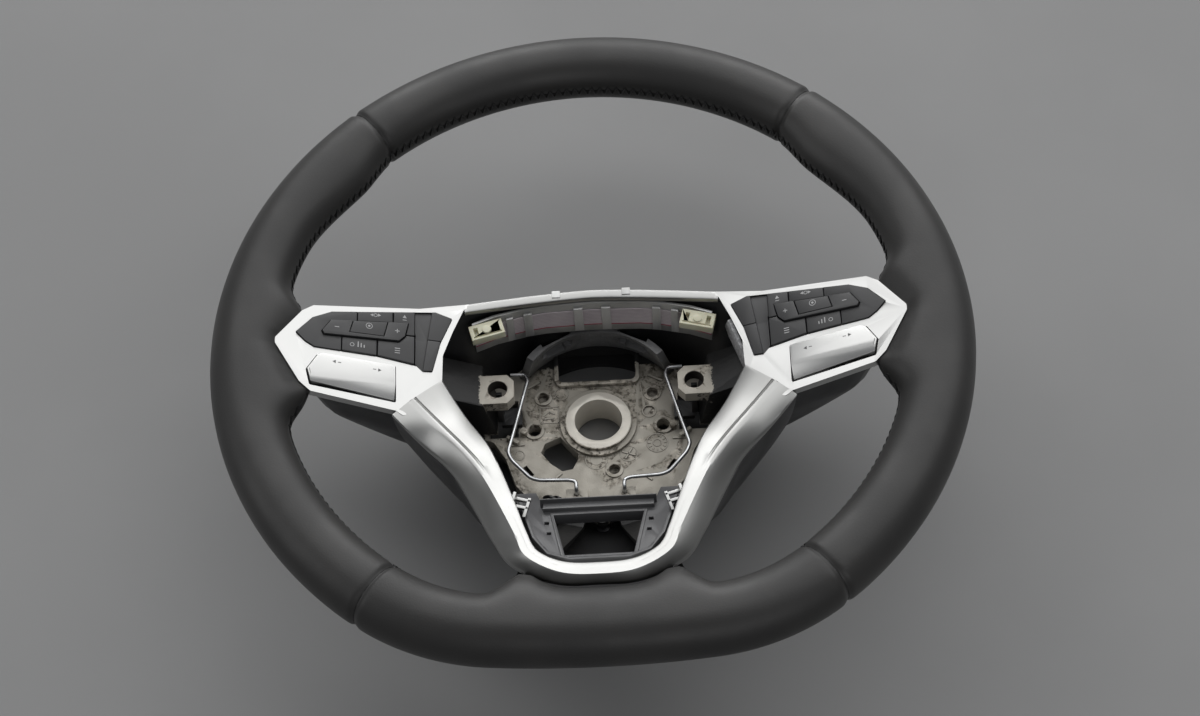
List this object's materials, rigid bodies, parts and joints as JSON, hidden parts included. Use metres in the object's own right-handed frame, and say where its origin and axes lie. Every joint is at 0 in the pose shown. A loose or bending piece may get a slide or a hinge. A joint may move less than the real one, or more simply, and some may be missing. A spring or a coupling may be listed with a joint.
{
  "type": "steering wheel",
  "caption": "Flat-bottomed leather car steering wheel with silver bezel, two key pads and an open hub ready for its airbag.",
  "frame": {"origin": "centre of the hub bore at the front face of the hub boss", "axes": "+Z along the bore towards the driver, +Y to twelve o'clock, +X to three o'clock"},
  "size_m": [0.3698, 0.358, 0.1135],
  "materials": {
    "leather": "soft matt, fine grain",
    "silver": "satin silver paint on plastic",
    "cast_metal": "as cast, dull",
    "wire": "zinc plated",
    "cream_plastic": "slightly glossy",
    "ribbon": "satin film",
    "foam": "moulded skin",
    "grey_plastic": "fine grain",
    "light_plastic": "speckled",
    "board": "satin",
    "mat": "soft",
    "wire_rubber": "smooth",
    "black_plastic": "fine grain",
    "key_plastic": "satin"
  },
  "bodies": {
    "wheel": {"armature": "cast_metal", "rim_foam": "foam", "hub_foam": "foam", "leather_top": "leather", "leather_left": "leather", "leather_right": "leather", "leather_bottom": "leather", "bezel": "silver", "rear_cover": "black_plastic", "cover_screws": "wire", "lower_carrier": "grey_plastic", "retaining_wires": "wire", "cable_rail": "grey_plastic", "ribbon_cable": "ribbon", "connector_left": "cream_plastic", "connector_right": "cream_plastic", "wire_loop": "wire_rubber", "lug_clip_left": "black_plastic", "lug_clip_right": "black_plastic", "side_module": "light_plastic", "switch_housing_left": "black_plastic", "switch_housing_right": "black_plastic", "switch_board_left": "board", "switch_board_right": "board", "dome_mat_left": "mat", "dome_mat_right": "mat", "key_frame_left": "key_plastic", "key_frame_right": "key_plastic"},
    "upper_key_left": {"upper_key_left": "key_plastic"},
    "upper_inner_key_left": {"upper_inner_key_left": "key_plastic"},
    "lower_key_left": {"lower_key_left": "key_plastic"},
    "lower_inner_key_left": {"lower_inner_key_left": "key_plastic"},
    "rocking_bar_left": {"rocking_bar_left": "key_plastic"},
    "centre_key_left": {"centre_key_left": "key_plastic"},
    "silver_rocker_left": {"silver_rocker_left": "silver"},
    "upper_key_right": {"upper_key_right": "key_plastic"},
    "upper_inner_key_right": {"upper_inner_key_right": "key_plastic"},
    "lower_key_right": {"lower_key_right": "key_plastic"},
    "lower_inner_key_right": {"lower_inner_key_right": "key_plastic"},
    "rocking_bar_right": {"rocking_bar_right": "key_plastic"},
    "centre_key_right": {"centre_key_right": "key_plastic"},
    "silver_rocker_right": {"silver_rocker_right": "silver"}
  },
  "joints": [
    {"name": "upper_key_right_press", "type": "slide", "parent": "wheel", "child": "upper_key_right", "axis": [0.3219, 0, -0.9468], "range_m": [0, 0.0006], "stiffness_N_per_m": 1500},
    {"name": "upper_inner_key_right_press", "type": "slide", "parent": "wheel", "child": "upper_inner_key_right", "axis": [0.3219, 0, -0.9468], "range_m": [0, 0.0006], "stiffness_N_per_m": 1500},
    {"name": "lower_key_right_press", "type": "slide", "parent": "wheel", "child": "lower_key_right", "axis": [0.3219, 0, -0.9468], "range_m": [0, 0.0006], "stiffness_N_per_m": 1500},
    {"name": "lower_inner_key_right_press", "type": "slide", "parent": "wheel", "child": "lower_inner_key_right", "axis": [0.3219, 0, -0.9468], "range_m": [0, 0.0006], "stiffness_N_per_m": 1500},
    {"name": "rocking_bar_right_tilt", "type": "hinge", "parent": "wheel", "child": "rocking_bar_right", "pos_m": [0.11195, 0.0152, 0.06793], "axis": [0, 1, 0], "range_deg": [-1.2, 1.2], "stiffness_Nm_per_rad": 0.4},
    {"name": "centre_key_right_press", "type": "slide", "parent": "rocking_bar_right", "child": "centre_key_right", "axis": [0.3219, 0, -0.9468], "range_m": [0, 0.0005], "stiffness_N_per_m": 1500},
    {"name": "silver_rocker_right_tilt", "type": "hinge", "parent": "wheel", "child": "silver_rocker_right", "pos_m": [0.11822, -0.0115, 0.06811], "axis": [0, 1, 0], "range_deg": [-1.2, 1.2], "stiffness_Nm_per_rad": 0.6},
    {"name": "upper_key_left_press", "type": "slide", "parent": "wheel", "child": "upper_key_left", "axis": [-0.3219, 0, -0.9468], "range_m": [0, 0.0006], "stiffness_N_per_m": 1500},
    {"name": "upper_inner_key_left_press", "type": "slide", "parent": "wheel", "child": "upper_inner_key_left", "axis": [-0.3219, 0, -0.9468], "range_m": [0, 0.0006], "stiffness_N_per_m": 1500},
    {"name": "lower_key_left_press", "type": "slide", "parent": "wheel", "child": "lower_key_left", "axis": [-0.3219, 0, -0.9468], "range_m": [0, 0.0006], "stiffness_N_per_m": 1500},
    {"name": "lower_inner_key_left_press", "type": "slide", "parent": "wheel", "child": "lower_inner_key_left", "axis": [-0.3219, 0, -0.9468], "range_m": [0, 0.0006], "stiffness_N_per_m": 1500},
    {"name": "rocking_bar_left_tilt", "type": "hinge", "parent": "wheel", "child": "rocking_bar_left", "pos_m": [-0.11195, 0.0152, 0.06793], "axis": [0, 1, 0], "range_deg": [-1.2, 1.2], "stiffness_Nm_per_rad": 0.4},
    {"name": "centre_key_left_press", "type": "slide", "parent": "rocking_bar_left", "child": "centre_key_left", "axis": [-0.3219, 0, -0.9468], "range_m": [0, 0.0005], "stiffness_N_per_m": 1500},
    {"name": "silver_rocker_left_tilt", "type": "hinge", "parent": "wheel", "child": "silver_rocker_left", "pos_m": [-0.11822, -0.0115, 0.06811], "axis": [0, 1, 0], "range_deg": [-1.2, 1.2], "stiffness_Nm_per_rad": 0.6}
  ]
}
